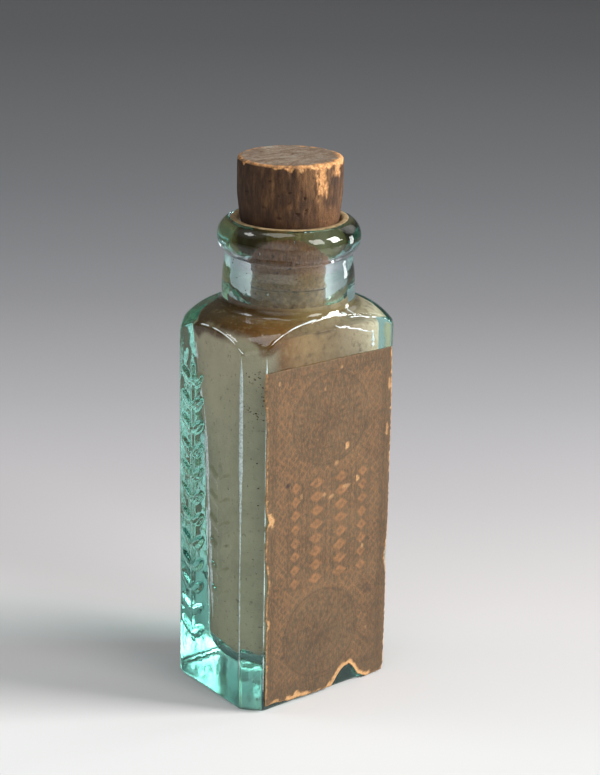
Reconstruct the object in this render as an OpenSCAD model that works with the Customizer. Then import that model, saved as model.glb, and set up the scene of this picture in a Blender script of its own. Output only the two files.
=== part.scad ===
// Small flat-sided medicine bottle in aqua glass: a mould-blown body with a
// domed shoulder and a rounded lip, a tapered cork, a paper label on the
// front panel and the dry powder that it holds.
// Millimetres, +Z up, origin at the centre of the base on the surface it
// stands on. The label faces -Y.

/* [Body] */
// Width of the glass body, side to side
body_w = 33; // [30:0.5:37]
// Depth of the glass body, front to back
body_d = 24; // [22:0.5:27]
// Setback of the flat cut across each upright corner
corner_cut = 2.9; // [1.5:0.1:4]
// Radius of the arc that rounds the shoulder over
shoulder_r = 9.5; // [8:0.25:11]
// Height of the shoulder's top, where the neck springs from it
shoulder_z = 70; // [66:0.5:74]

/* [Neck and lip] */
// Outer radius of the neck where it leaves the shoulder
neck_r = 11.45; // [10.5:0.05:12]
// Outer radius of the neck just under the lip
neck_top_r = 10.95; // [10.4:0.05:11.4]
// Radius of the fillet where the neck meets the shoulder
neck_fillet = 1.8; // [0.8:0.1:2.4]
// Height of the glass from base to the top of the lip
glass_h = 84.6; // [82:0.2:88]
// Radius of the rounded section of the lip
lip_round = 3.4; // [3:0.1:3.8]
// Largest radius of the lip
lip_r = 12.28; // [11.8:0.02:12.8]
// Radius of the bore through the neck
bore_r = 6.6; // [6:0.1:7]
// Radius of the bore at the mouth
mouth_r = 8.5; // [8:0.05:8.8]
// Depth of the flared seat for the cork below the mouth
seat_depth = 5.6; // [4.5:0.1:7]

/* [Cavity] */
// Half width of the cavity
cav_a = 13.2; // [12:0.1:13.6]
// Half depth of the cavity
cav_b = 8.8; // [8:0.1:9.2]
// Radius of the cavity's upright corners
cav_corner = 7; // [5:0.25:8]
// Radius of the cavity's lower edge
cav_foot = 2.75; // [1.5:0.25:4]
// Thickness of the base
base_t = 5.8; // [4:0.2:9]
// Thickness of the shoulder
shoulder_t = 2.8; // [2:0.1:3.5]
// How far the cavity lies to the right of the centre
cav_dx = 0.6; // [0:0.1:0.8]
// How far the cavity lies in front of the centre
cav_dy = 0.6; // [0:0.1:0.8]
// Depth of the shallow hollow under the base
push_up = 0.3; // [0:0.05:0.6]

/* [Raised ornament] */
// Height of the moulded leaves above the side panels
relief = 0.45; // [0.2:0.05:0.7]
// Pairs of leaves in the long spray
long_pairs = 12; // [8:1:14]
// Pairs of leaves in the short spray
short_pairs = 6; // [4:1:8]
// Length of one leaf
leaf_l = 3.6; // [2.4:0.1:4]
// Breadth of one leaf
leaf_b = 1.5; // [0.8:0.1:1.8]

/* [Cork] */
// Radius of the cork at its widest, near the top
cork_r = 9.0; // [8.7:0.02:9.3]
// Height of the cork above the lip
cork_up = 10.8; // [8:0.1:14]
// Radial clearance between cork and seat
cork_gap = 0.06; // [0.03:0.01:0.1]
// How far the cork reaches down inside the neck
cork_in = 11.2; // [8:0.1:13]

/* [Label] */
// Height of the label's top edge
label_top = 62.4; // [56:0.2:63]
// Height of the label's bottom edge
label_bottom = 0.8; // [0.6:0.1:4]
// Thickness of the paper and its paste
label_t = 0.15; // [0.1:0.01:0.25]
// Depth of the torn notch in the bottom edge
tear_h = 3.7; // [0:0.1:6]

/* [Contents] */
// Height to which the powder fills the bottle
fill_z = 62.6; // [40:0.2:64]
// Space between the powder and the glass
powder_gap = 0.1; // [0.05:0.05:0.3]

/* [Hidden] */
$fn = 96;
eps = 0.02;

// centre of the shoulder's arc, in radius and height
sh_cr = neck_r - 0.65;
sh_cz = shoulder_z - shoulder_r;
// where the fillet runs out on the shoulder's arc, in radius and height
fil_r = neck_r + neck_fillet;
fil_z = sh_cz + sqrt(pow(shoulder_r, 2) - pow(fil_r - sh_cr, 2));
// centre of the lip's round, in radius and height
lip_cr = lip_r - lip_round;
lip_cz = glass_h - 2.9;
// height of the seam where the lip meets the neck
lip_low_z = lip_cz - 2.75;
seat_z = glass_h - seat_depth;
// inner shoulder: the same centre as the outer arc, less the wall
in_r = shoulder_r - shoulder_t;
in_top = sh_cz + in_r;
cork_top = glass_h + cork_up;
cork_end_z = glass_h - cork_in;
seat_slope = (mouth_r - bore_r) / seat_depth;
cork_bore_r = bore_r - cork_gap;
cork_mouth_r = mouth_r - cork_gap;

glass_col = [0.55, 0.80, 0.74, 0.45];
cork_col = [0.42, 0.27, 0.16];
paper_col = [0.50, 0.36, 0.25];
powder_col = [0.55, 0.47, 0.36];

// Body outline seen from above: a rectangle with its corners cut
module body_outline() {
    w = body_w / 2;
    d = body_d / 2;
    c = corner_cut;
    polygon([[-w, -d + c], [-w + c, -d], [w - c, -d], [w, -d + c],
             [w, d - c], [w - c, d], [-w + c, d], [-w, d - c]]);
}

// Section that turns into the shoulder's dome: a block whose upper outer
// corner is an arc
module dome_section(cr, cz, r, low) {
    translate([0, low]) square([cr + r, cz - low]);
    translate([0, cz - eps]) square([cr, r + eps]);
    intersection() {
        translate([cr, cz]) circle(r);
        translate([0, cz - eps]) square([cr + r, r + 1]);
    }
}

// Neck and lip, solid
module neck_and_lip() {
    translate([0, 0, shoulder_z - 2])
        cylinder(h = 2 + eps, r = neck_r);
    translate([0, 0, shoulder_z])
        cylinder(h = lip_low_z + 0.4 - shoulder_z, r1 = neck_r, r2 = neck_top_r);
    // fillet at the foot of the neck, cut off flush with the panels
    intersection() {
        rotate_extrude() difference() {
            translate([neck_r - 1, fil_z - 1]) square([neck_fillet + 1, neck_fillet + 1]);
            translate([fil_r, fil_z + neck_fillet]) circle(neck_fillet);
        }
        translate([0, 0, fil_z - 2]) linear_extrude(neck_fillet + 4) body_outline();
    }
    rotate_extrude() intersection() {
        union() {
            translate([lip_cr, lip_cz]) circle(lip_round);
            translate([0, lip_low_z]) square([lip_cr, glass_h - lip_low_z]);
        }
        translate([0, lip_low_z]) square([lip_r + 1, glass_h - lip_low_z]);
    }
}

// One leaf lying in the XY plane, pointed at both ends
module leaf() {
    l = leaf_l / 2;
    b = leaf_b / 2;
    polygon([[-l, 0], [-l * 0.45, -b], [l * 0.35, -b], [l, 0], [l * 0.35, b], [-l * 0.45, b]]);
}

// A stem with slanting leaves in pairs, running along +Y from the origin
module spray(pairs, pitch) {
    translate([-0.3, 0]) square([0.6, pairs * pitch]);
    for (i = [0:pairs - 1]) {
        translate([leaf_l * 0.45, (i + 0.5) * pitch]) rotate(38) leaf();
        translate([-leaf_l * 0.45, (i + 0.5) * pitch]) rotate(142) leaf();
    }
}

// The two sprays of one side panel, raised from the face at x = body_w / 2
module side_ornament() {
    translate([body_w / 2 - eps, 0, 0]) rotate([90, 0, 90])
        linear_extrude(relief + eps) {
            translate([5.0, 8.5]) spray(long_pairs, 4.3);
            translate([-3.1, 18.5]) spray(short_pairs, 4.3);
        }
}

// Rounded block: upright corners of radius r, lower edge of radius f
module rounded_block(a, b, r, f, z0, z1) {
    module wall_section(h) {
        translate([-h, z0 + f]) square([2 * h, z1 - z0 - f]);
        translate([-h + f, z0]) square([2 * h - 2 * f, z1 - z0]);
        for (s = [-1, 1]) translate([s * (h - f), z0 + f]) circle(f);
    }
    for (x = [-1, 1], y = [-1, 1])
        translate([x * (a - r), y * (b - r), 0]) rotate_extrude() {
            translate([0, z0 + f]) square([r, z1 - z0 - f]);
            translate([0, z0]) square([r - f, z1 - z0]);
            intersection() {
                translate([r - f, z0 + f]) circle(f);
                translate([0, z0]) square([r, z1 - z0]);
            }
        }
    translate([0, b - r, 0]) rotate([90, 0, 0]) linear_extrude(2 * (b - r)) wall_section(a);
    translate([-(a - r), 0, 0]) rotate([90, 0, 90]) linear_extrude(2 * (a - r)) wall_section(b);
}

// Space inside the body, less a gap all round
module cavity(gap, top) {
    intersection() {
        translate([cav_dx, -cav_dy, 0])
            rounded_block(cav_a - gap, cav_b - gap, cav_corner - gap, cav_foot, base_t + gap, top);
        rotate_extrude() dome_section(sh_cr, sh_cz, in_r - gap, 0);
    }
}

module bottle_glass() {
    color(glass_col) difference() {
        union() {
            intersection() {
                linear_extrude(shoulder_z) body_outline();
                rotate_extrude() dome_section(sh_cr, sh_cz, shoulder_r, 0);
            }
            neck_and_lip();
            side_ornament();
            mirror([1, 0, 0]) side_ornament();
        }
        cavity(0, in_top + 1);
        // bore from the cavity to the cork's seat
        translate([0, 0, in_top - 3]) cylinder(h = seat_z - in_top + 3 + eps, r = bore_r);
        // flared seat
        translate([0, 0, seat_z]) cylinder(h = seat_depth + eps, r1 = bore_r, r2 = mouth_r + seat_slope * eps);
        // shallow hollow under the base
        if (push_up > 0) translate([0, 0, push_up - 150]) sphere(150);
    }
}

module cork_stopper() {
    color(cork_col) union() {
        // part squeezed into the bore, with its lower edge rubbed off
        translate([0, 0, cork_end_z])
            cylinder(h = 0.5, r1 = cork_bore_r - 0.4, r2 = cork_bore_r);
        translate([0, 0, cork_end_z + 0.5])
            cylinder(h = seat_z - cork_end_z - 0.5, r = cork_bore_r);
        // part in the flared seat
        translate([0, 0, seat_z])
            cylinder(h = seat_depth, r1 = cork_bore_r, r2 = cork_mouth_r);
        // part above the lip, swelling to its widest
        translate([0, 0, glass_h])
            cylinder(h = cork_up * 0.75, r1 = cork_mouth_r, r2 = cork_r);
        translate([0, 0, glass_h + cork_up * 0.75])
            cylinder(h = cork_up * 0.25 - 0.6, r = cork_r);
        // worn upper edge
        translate([0, 0, cork_top - 0.6])
            cylinder(h = 0.6, r1 = cork_r, r2 = cork_r - 0.5);
    }
}

// Label: a rectangle with a torn notch and a nibbled corner at the bottom
module front_label() {
    w = body_w / 2 - corner_cut;
    z0 = label_bottom;
    z1 = label_top;
    color(paper_col) translate([0, -body_d / 2, 0]) rotate([90, 0, 0])
        linear_extrude(label_t)
            polygon([[-w, z0], [-6.5, z0], [-5.6, z0 + 1.2], [-4.2, z0], [1.2, z0],
                     [3.0, z0 + tear_h * 0.72], [5.3, z0 + tear_h], [7.2, z0 + tear_h * 0.68],
                     [9.6, z0], [w - 0.5, z0], [w, z0 + 1], [w, z1], [-w, z1]]);
}

// Dry powder filling the cavity up to the shoulder
module powder_contents() {
    color(powder_col) cavity(powder_gap, fill_z);
}

bottle_glass();
cork_stopper();
front_label();
powder_contents();
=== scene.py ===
"""Small aqua glass medicine bottle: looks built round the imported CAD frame."""

import math

import bpy
import numpy as np
from mathutils import Matrix, Vector


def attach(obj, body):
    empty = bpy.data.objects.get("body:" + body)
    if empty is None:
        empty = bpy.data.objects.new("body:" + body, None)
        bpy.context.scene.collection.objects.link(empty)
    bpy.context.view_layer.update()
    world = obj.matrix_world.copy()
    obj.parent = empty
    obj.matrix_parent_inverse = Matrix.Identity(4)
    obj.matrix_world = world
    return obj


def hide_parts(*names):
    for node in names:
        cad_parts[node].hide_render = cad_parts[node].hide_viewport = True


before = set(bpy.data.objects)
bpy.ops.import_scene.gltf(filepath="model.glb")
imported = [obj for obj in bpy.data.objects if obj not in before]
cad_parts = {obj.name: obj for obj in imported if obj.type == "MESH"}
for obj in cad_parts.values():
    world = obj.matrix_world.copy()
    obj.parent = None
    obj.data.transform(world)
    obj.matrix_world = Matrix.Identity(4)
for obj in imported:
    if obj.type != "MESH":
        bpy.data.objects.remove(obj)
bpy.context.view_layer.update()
scene = bpy.context.scene
MM = 0.001


# ------------------------------------------------------------------ helpers
def hash3(ix, iy, iz, seed):
    m = np.int64(0xFFFFFFFF)
    h = (ix * 374761393 + iy * 668265263 + iz * 1440662683 + seed * 1274126177) & m
    h = ((h ^ (h >> 13)) * 1103515245) & m
    h = ((h ^ (h >> 16)) * 668265263) & m
    h = h ^ (h >> 15)
    return (h & 0xFFFFFF).astype(float) / float(0xFFFFFF)


def vnoise(x, y, z, seed=0):
    """Smooth value noise in -1..1."""
    x, y, z = np.broadcast_arrays(np.asarray(x, float), np.asarray(y, float), np.asarray(z, float))
    fx, fy, fz = np.floor(x), np.floor(y), np.floor(z)
    ix, iy, iz = fx.astype(np.int64), fy.astype(np.int64), fz.astype(np.int64)
    u, v, w = x - fx, y - fy, z - fz
    u, v, w = (t * t * t * (t * (t * 6 - 15) + 10) for t in (u, v, w))
    out = 0.0
    for dx in (0, 1):
        for dy in (0, 1):
            for dz in (0, 1):
                k = (u if dx else 1 - u) * (v if dy else 1 - v) * (w if dz else 1 - w)
                out = out + k * hash3(ix + dx, iy + dy, iz + dz, seed)
    return out * 2 - 1


def fbm(x, y, z, octaves=4, seed=0, gain=0.5):
    out, amp, tot, f = 0.0, 1.0, 0.0, 1.0
    for i in range(octaves):
        out = out + amp * vnoise(np.asarray(x) * f, np.asarray(y) * f, np.asarray(z) * f, seed + 17 * i)
        tot += amp
        amp *= gain
        f *= 2.03
    return out / tot


def smoothstep(a, b, x):
    t = np.clip((np.asarray(x, float) - a) / (b - a), 0, 1)
    return t * t * (3 - 2 * t)


def smin(a, b, k):
    h = np.clip(0.5 + 0.5 * (b - a) / k, 0, 1)
    return b * (1 - h) + a * h - k * h * (1 - h)


def make_mesh(name, verts_mm, faces, body, smooth=True, attrs=None):
    mesh = bpy.data.meshes.new(name)
    mesh.from_pydata((np.asarray(verts_mm, float) * MM).tolist(), [], [list(map(int, f)) for f in faces])
    mesh.validate()
    mesh.polygons.foreach_set("use_smooth", [smooth] * len(mesh.polygons))
    for key, val in (attrs or {}).items():
        a = mesh.attributes.new(key, "FLOAT", "POINT")
        a.data.foreach_set("value", np.asarray(val, np.float32))
    mesh.update()
    ob = bpy.data.objects.new(name, mesh)
    scene.collection.objects.link(ob)
    if body:
        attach(ob, body)
    return ob


def ring_faces(rows, cols, first=0, flip=False):
    """Quads between successive closed rings of the same number of points."""
    j = np.arange(cols)
    k = (j + 1) % cols
    out = []
    for i in range(rows - 1):
        a = first + i * cols
        b = a + cols
        q = np.stack([a + j, a + k, b + k, b + j], 1)
        out.append(q[:, ::-1] if flip else q)
    return np.concatenate(out).tolist()


def fan(centre, start, cols, flip=False):
    out = []
    for j in range(cols):
        k = (j + 1) % cols
        out.append([centre, start + k, start + j] if not flip else [centre, start + j, start + k])
    return out


def lathe(rings, start_pt, end_pt):
    """Rings (rows, cols, 3) closed at both ends on single points. Rings run up the outside
    with the points anticlockwise from above, so the faces look outwards."""
    rings = np.asarray(rings, float)
    rows, cols, _ = rings.shape
    verts = np.concatenate([rings.reshape(-1, 3), [start_pt], [end_pt]])
    n = rows * cols
    faces = ring_faces(rows, cols) + fan(n, 0, cols) + fan(n + 1, (rows - 1) * cols, cols, True)
    return verts, faces


# ------------------------------------------------------------------ node helpers
class Nodes:
    def __init__(self, mat):
        self.nt = mat.node_tree
        self.nt.nodes.clear()

    def add(self, kind, ins=None, **props):
        n = self.nt.nodes.new(kind)
        for k, v in props.items():
            setattr(n, k, v)
        for k, v in (ins or {}).items():
            s = n.inputs[k]
            if hasattr(v, "is_output") and v.is_output:
                self.nt.links.new(v, s)
            else:
                s.default_value = v
        return n

    def math(self, op, a, b=None, c=None, clamp=False):
        n = self.nt.nodes.new("ShaderNodeMath")
        n.operation = op
        n.use_clamp = clamp
        for i, v in enumerate((a, b, c)):
            if v is None:
                continue
            if hasattr(v, "is_output"):
                self.nt.links.new(v, n.inputs[i])
            else:
                n.inputs[i].default_value = v
        return n.outputs[0]

    def mix(self, fac, a, b, blend="MIX"):
        n = self.nt.nodes.new("ShaderNodeMix")
        n.data_type = "RGBA"
        n.blend_type = blend
        for s, v in ((n.inputs[0], fac), (n.inputs[6], a), (n.inputs[7], b)):
            if hasattr(v, "is_output"):
                self.nt.links.new(v, s)
            elif isinstance(v, (tuple, list)):
                s.default_value = tuple(v) + ((1.0,) if len(v) == 3 else ())
            else:
                s.default_value = v
        return n.outputs[2]

    def ramp(self, fac, stops, interp="LINEAR"):
        n = self.nt.nodes.new("ShaderNodeValToRGB")
        cr = n.color_ramp
        cr.interpolation = interp
        while len(cr.elements) < len(stops):
            cr.elements.new(0.5)
        for e, (p, c) in zip(cr.elements, stops):
            e.position = p
            e.color = tuple(c) + (1.0,) if len(c) == 3 else c
        self.nt.links.new(fac, n.inputs[0])
        return n.outputs[0]

    def range(self, v, a, b, c=0.0, d=1.0, smooth=True):
        n = self.nt.nodes.new("ShaderNodeMapRange")
        n.interpolation_type = "SMOOTHSTEP" if smooth else "LINEAR"
        self.nt.links.new(v, n.inputs[0])
        for i, x in enumerate((a, b, c, d)):
            n.inputs[i + 1].default_value = x
        return n.outputs[0]

    def noise(self, vec, scale, detail=4.0, rough=0.5, dist=0.0):
        n = self.add("ShaderNodeTexNoise", {"Scale": scale, "Detail": detail, "Roughness": rough, "Distortion": dist})
        self.nt.links.new(vec, n.inputs["Vector"])
        return n.outputs[0]

    def obj(self, scale=(1000.0, 1000.0, 1000.0), rot=(0, 0, 0)):
        """Object coordinates in millimetres, stretched by scale / 1000."""
        tc = self.add("ShaderNodeTexCoord")
        mp = self.add("ShaderNodeMapping", {"Scale": scale, "Rotation": rot})
        self.nt.links.new(tc.outputs["Object"], mp.inputs["Vector"])
        return mp.outputs[0]

    def attr(self, name):
        return self.add("ShaderNodeAttribute", attribute_name=name).outputs["Fac"]

    def bump(self, height, strength, dist):
        n = self.add("ShaderNodeBump", {"Strength": strength, "Distance": dist})
        self.nt.links.new(height, n.inputs["Height"])
        return n.outputs[0]

    def out(self, shader, volume=None):
        o = self.add("ShaderNodeOutputMaterial")
        self.nt.links.new(shader, o.inputs["Surface"])
        if volume is not None:
            self.nt.links.new(volume, o.inputs["Volume"])


def material(name):
    m = bpy.data.materials.new(name)
    m.use_nodes = True
    return m, Nodes(m)


def srgb(r, g, b):
    """Linear colour of an sRGB triple in 0..255."""
    out = []
    for c in (r, g, b):
        c = c / 255.0
        out.append(c / 12.92 if c <= 0.04045 else ((c + 0.055) / 1.055) ** 2.4)
    return tuple(out)


# ------------------------------------------------------------------ dimensions, mm
W, D, CUT = 16.5, 12.0, 2.9
SH_CR, SH_CZ, SH_R = 10.8, 60.5, 9.5
LIP_CR, LIP_CZ, LIP_RR = 8.88, 81.7, 3.4
GLASS_H = 84.6
BORE_R = 6.6
SEAT_Z, SEAT_R, MOUTH_R = 79.0, 6.6, 8.5
IN_R = 6.7
FLOOR_Z = 5.8
HEEL = 1.0
RELIEF = 0.45
CORK_END = 73.4
CORK_TOP = 95.4


def rho_box(th, w=W, d=D, c=CUT, k=0.5):
    cx, sy = np.abs(np.cos(th)), np.abs(np.sin(th))
    rx = w / np.maximum(cx, 1e-6)
    ry = d / np.maximum(sy, 1e-6)
    rc = (w + d - c) / (cx + sy)
    return smin(smin(rx, rc, k), ry, k)


def column_angles(n):
    """Directions of the mesh's columns: close together on the side panels, which carry the
    leaves, and round the upright edges."""
    th = np.linspace(-math.pi, math.pi, 20001)
    rho = rho_box(th, k=0.05)
    x, y = rho * np.cos(th), rho * np.sin(th)
    ds = np.hypot(np.diff(x), np.diff(y))
    xm, ym = np.abs(x[:-1]), np.abs(y[:-1])
    dens = np.where(xm > W - 0.05, 1 / 0.34, np.where(ym > D - 0.05, np.where(y[:-1] < 0, 1 / 0.62, 1 / 0.9), 1 / 0.5))
    for ex, ey in ((W, D - CUT), (W - CUT, D)):
        dens = dens + 3.2 * np.exp(-((np.hypot(xm - ex, ym - ey) / 0.55) ** 2))
    cum = np.concatenate([[0], np.cumsum(ds * dens)])
    t = (np.arange(n) + 0.5) / n * cum[-1]
    return np.interp(t, cum, th)


NC = 268
TH = column_angles(NC)
DIRX, DIRY = np.cos(TH), np.sin(TH)


# ------------------------------------------------------------------ relief: two leaf sprays on each side panel
def leaf_field(y, z):
    """Height of the moulded leaves at a point of a side panel, 0..1."""
    h = np.zeros(np.broadcast(y, z).shape)
    for y0, z0, pairs in ((5.0, 8.5, 12), (-3.1, 18.5, 6)):
        top = z0 + pairs * 4.3
        stem = 0.32 - np.abs(y - y0)
        inside = smoothstep(-0.12, 0.16, stem) * smoothstep(z0 - 0.3, z0 + 0.1, z) * smoothstep(top + 0.3, top - 0.1, z)
        h = np.maximum(h, 0.8 * inside)
        for i in range(pairs):
            for side, ang in ((1, 38.0), (-1, 142.0)):
                cy = y0 + side * 1.62
                cz = z0 + (i + 0.5) * 4.3
                a = math.radians(ang)
                u = (y - cy) * math.cos(a) + (z - cz) * math.sin(a)
                v = -(y - cy) * math.sin(a) + (z - cz) * math.cos(a)
                half = 0.82 * np.sqrt(np.clip(1 - (u / 1.95) ** 2, 0, 1)) * (1 - 0.18 * u / 1.9)
                edge = half - np.abs(v)
                leaf = smoothstep(-0.05, 0.42, edge) * (np.abs(u) < 1.95)
                leaf = leaf * (1 - 0.35 * np.exp(-((v / 0.16) ** 2)))
                h = np.maximum(h, leaf)
    return h


def outer_ring(r_lim, z, k=0.5, inset=0.0, turned=False):
    """One ring of the outside: the chamfered block, cut by the circle of the turned profile."""
    box = rho_box(TH) - inset
    rho = smin(box, np.full(NC, r_lim), k) if r_lim < 40 else box
    if turned:
        rho = np.full(NC, float(r_lim))
    zz = np.full(NC, float(z))
    x, y = rho * DIRX, rho * DIRY
    # slow waves of hand-worked glass
    wav = 0.045 * fbm(x * 0.11 + 3, y * 0.11, zz * 0.09, 2, 5) + 0.012 * vnoise(x * 0.5, y * 0.5, zz * 0.32, 9)
    x, y = x + wav * DIRX, y + wav * DIRY
    return np.stack([x, y, zz], 1), rho, box


# cavity: centre, half sizes and corner radius against height
CAVZ = np.array([5.8, 12, 17, 35, 47, 55, 62, 67.2])
CAV = {
    "cx": np.array([1.25, 1.2, 1.15, 1.05, 0.95, 0.6, 0.3, 0.0]),
    "cy": np.array([-1.2, -1.15, -1.1, -0.95, -0.85, -0.5, -0.3, 0.0]),
    "a": np.array([12.2, 12.25, 12.35, 12.9, 13.0, 13.25, 13.5, 13.6]),
    "b": np.array([7.8, 7.9, 8.05, 8.5, 8.6, 8.9, 9.2, 9.3]),
    "r": np.array([7.6, 7.8, 7.9, 8.0, 8.0, 7.0, 6.0, 5.5]),
}


def rho_rrect(th, a, b, r):
    """Distance from the centre to a rounded rectangle, along each direction."""
    cx, sy = np.abs(np.cos(th)), np.abs(np.sin(th))
    rx = a / np.maximum(cx, 1e-6)
    ry = b / np.maximum(sy, 1e-6)
    rho = np.minimum(rx, ry)
    px, py = rho * cx, rho * sy
    corner = (px > a - r) & (py > b - r)
    ax, ay = a - r, b - r
    dot = cx * ax + sy * ay
    disc = np.maximum(dot * dot - (ax * ax + ay * ay) + r * r, 0)
    return np.where(corner, dot + np.sqrt(disc), rho)


def cavity_ring(z, off=0.0, r_lim=99.0, shrink=0.0, zz=None):
    cx, cy, a, b, r = (np.interp(z, CAVZ, CAV[k]) for k in ("cx", "cy", "a", "b", "r"))
    rho = rho_rrect(TH, a, b, min(r, b - 0.3))
    wob = 0.16 * fbm(np.cos(TH) * 1.3 + 7, np.sin(TH) * 1.3, z * 0.07, 3, 21)
    rho = rho + wob - off - shrink
    if r_lim < 30:
        cd = cx * DIRX + cy * DIRY
        circ = -cd + np.sqrt(np.maximum(cd * cd - (cx * cx + cy * cy) + (r_lim - off) ** 2, 0.01))
        rho = smin(rho, circ, 1.0)
    zv = z if zz is None else zz
    return np.stack([cx + rho * DIRX, cy + rho * DIRY, np.full(NC, float(zv))], 1)


def round_ring(r, z):
    return np.stack([r * DIRX, r * DIRY, np.full(NC, float(z))], 1)


def inner_dome_limit(z, off=0.0):
    return SH_CR + math.sqrt(max(IN_R ** 2 - max(z - SH_CZ, 0) ** 2, 0.0)) - off


# ------------------------------------------------------------------ bottle glass
def build_glass():
    rings = []
    # underside: a shallow hollow, then the rounded heel
    for s in (0.1, 0.25, 0.4, 0.55, 0.68, 0.78, 0.86, 0.93, 0.98):
        rho = s * (rho_box(TH) - HEEL)
        z = 0.3 * max(0.0, 1 - (s / 0.86) ** 2) ** 1.3
        rings.append(np.stack([rho * DIRX, rho * DIRY, np.full(NC, z)], 1))
    for i in range(0, 7):
        f = math.radians(90 * i / 7)
        p, _, _ = outer_ring(99, HEEL * (1 - math.cos(f)), inset=HEEL * (1 - math.sin(f)))
        rings.append(p)
    # walls
    for z in np.arange(HEEL, 61.9, 0.36):
        p, rho, box = outer_ring(99, z)
        rings.append(p)
    first_wall = 9 + 7
    # dome, fillet and neck as one turned profile
    prof = []
    f0, f1 = math.asin((62.1 - SH_CZ) / SH_R), math.radians(77.5)
    for i in range(42):
        f = f0 + (f1 - f0) * i / 41
        prof.append((SH_CR + SH_R * math.cos(f), SH_CZ + SH_R * math.sin(f)))
    for i in range(1, 10):
        b = math.radians(12.5 + 77.5 * i / 9)
        prof.append((13.25 - 1.8 * math.sin(b), 71.53 - 1.8 * math.cos(b)))
    for z in (72.1, 72.9, 73.7, 74.5, 75.3, 76.0, 76.6, 77.1, 77.5, 77.9, 78.2, 78.45):
        prof.append((float(np.interp(z, [71.5, 72.9, 74, 75.5, 76.4, 77.3, 78.5], [11.45, 11.45, 11.4, 11.3, 11.18, 10.99, 10.86])), z))
    prof.append((10.84, 78.7))
    a0, a1 = -56.0, 60.0
    for i in range(26):
        a = math.radians(a0 + (a1 - a0) * i / 25)
        prof.append((LIP_CR + LIP_RR * math.cos(a), LIP_CZ + LIP_RR * math.sin(a) * 1.0))
    for r, z in ((10.2, 84.72), (9.7, 84.76), (9.25, 84.74), (8.95, 84.66), (8.72, 84.5), (8.58, 84.25)):
        prof.append((r, z))
    for r, z in prof:
        p, _, _ = outer_ring(r, z, k=0.55, turned=z > 72)
        rings.append(p)
    # seat of the cork, bore and the turn into the inner shoulder
    slope = (MOUTH_R - SEAT_R) / (GLASS_H - SEAT_Z)
    for z in (83.6, 82.6, 81.4, 80.3, 79.5):
        rings.append(round_ring(SEAT_R + slope * (z - SEAT_Z) + 0.02 * (z < 80), z))
    for r, z in ((6.66, 79.0), (6.615, 78.5), (6.6, 77.8), (6.6, 76.6), (6.6, 75.2), (6.6, 73.8), (6.6, 72.4), (6.6, 71.2), (6.62, 70.2),
                 (6.7, 69.4), (6.85, 68.75), (7.1, 68.2), (7.5, 67.75), (8.1, 67.45), (8.9, 67.28), (9.8, 67.21)):
        rings.append(round_ring(r, z))
    # inner shoulder
    for i in range(0, 15):
        f = math.radians(90 - 90 * i / 14)
        z = SH_CZ + IN_R * math.sin(f)
        rings.append(cavity_ring(z, r_lim=SH_CR + IN_R * math.cos(f)))
    # cavity walls
    for z in np.arange(59.2, FLOOR_Z + 4.8, -1.6):
        rings.append(cavity_ring(z))
    # rounded foot of the cavity and its floor
    foot = 4.6
    for i in range(1, 10):
        f = math.radians(90 * i / 9)
        z = FLOOR_Z + foot * (1 - math.sin(f))
        rings.append(cavity_ring(z, shrink=foot * (1 - math.cos(f))))
    base = cavity_ring(FLOOR_Z, shrink=foot)
    c = np.array([1.2, -1.2])
    for s in (0.85, 0.65, 0.42, 0.2):
        q = base.copy()
        q[:, :2] = c + (base[:, :2] - c) * s
        q[:, 2] = FLOOR_Z + 0.35 * (1 - s * s)
        rings.append(q)
    rings = np.array(rings)

    # moulded leaves on both side panels
    n_wall = int(round((61.9 - HEEL) / 0.36)) + 2
    seg = rings[first_wall:first_wall + n_wall]
    on_x = np.abs(rho_box(TH, k=0.02) * DIRX) > W - 0.02
    lf = leaf_field(seg[:, :, 1], seg[:, :, 2])
    seg[:, :, 0] += np.sign(DIRX)[None, :] * lf * RELIEF * on_x[None, :]
    # a raised mould seam down two opposite corners
    for ang in (math.radians(33.2), math.radians(213.2)):
        dth = np.abs(np.angle(np.exp(1j * (TH - ang))))
        ridge = 0.07 * np.exp(-((dth * 18.0 / 0.28) ** 2))
        seg[:, :, 0] += ridge * DIRX
        seg[:, :, 1] += ridge * DIRY

    verts, faces = lathe(rings, (0, 0, 0.3), (1.2, -1.2, FLOOR_Z + 0.35))
    verts = list(map(tuple, verts))

    # seed bubbles: small closed voids in the wall, their faces turned inwards
    rng = np.random.default_rng(41)
    ico_v, ico_f = icosphere(1)
    spots = []
    for _ in range(26):                       # body
        side = rng.integers(0, 4)
        z = rng.uniform(8, 60)
        if side == 0:
            spots.append((-W + rng.uniform(0.9, 2.0), rng.uniform(-6, 9), z))
        elif side == 1:
            spots.append((W - rng.uniform(0.7, 1.6), rng.uniform(-7, 8), z))
        elif side == 2:
            spots.append((rng.uniform(-12, 12), D - rng.uniform(0.9, 2.2), z))
        else:
            t = rng.uniform(-1, 1)
            spots.append((-14.2 + t, -9.7 - t, z))
    for _ in range(22):                       # neck and lip
        th = rng.uniform(-math.pi, math.pi)
        z = rng.uniform(70.5, 83)
        r = rng.uniform(8.9, 10.2) if z > 79 else rng.uniform(7.6, 10.4)
        spots.append((r * math.cos(th), r * math.sin(th), z))
    for _ in range(12):                       # base
        spots.append((rng.uniform(-12, 12), rng.uniform(-8, 8), rng.uniform(1.6, 4.2)))
    for s in spots:
        r = 0.07 + 0.13 * rng.random() ** 2
        base_i = len(verts)
        v = ico_v * r * np.array([1, 1, 1 + 0.9 * rng.random()]) + np.array(s)
        verts += list(map(tuple, v))
        faces += [[base_i + t[0], base_i + t[2], base_i + t[1]] for t in ico_f]
    return make_mesh("glass_bottle", verts, faces, "bottle")


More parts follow.
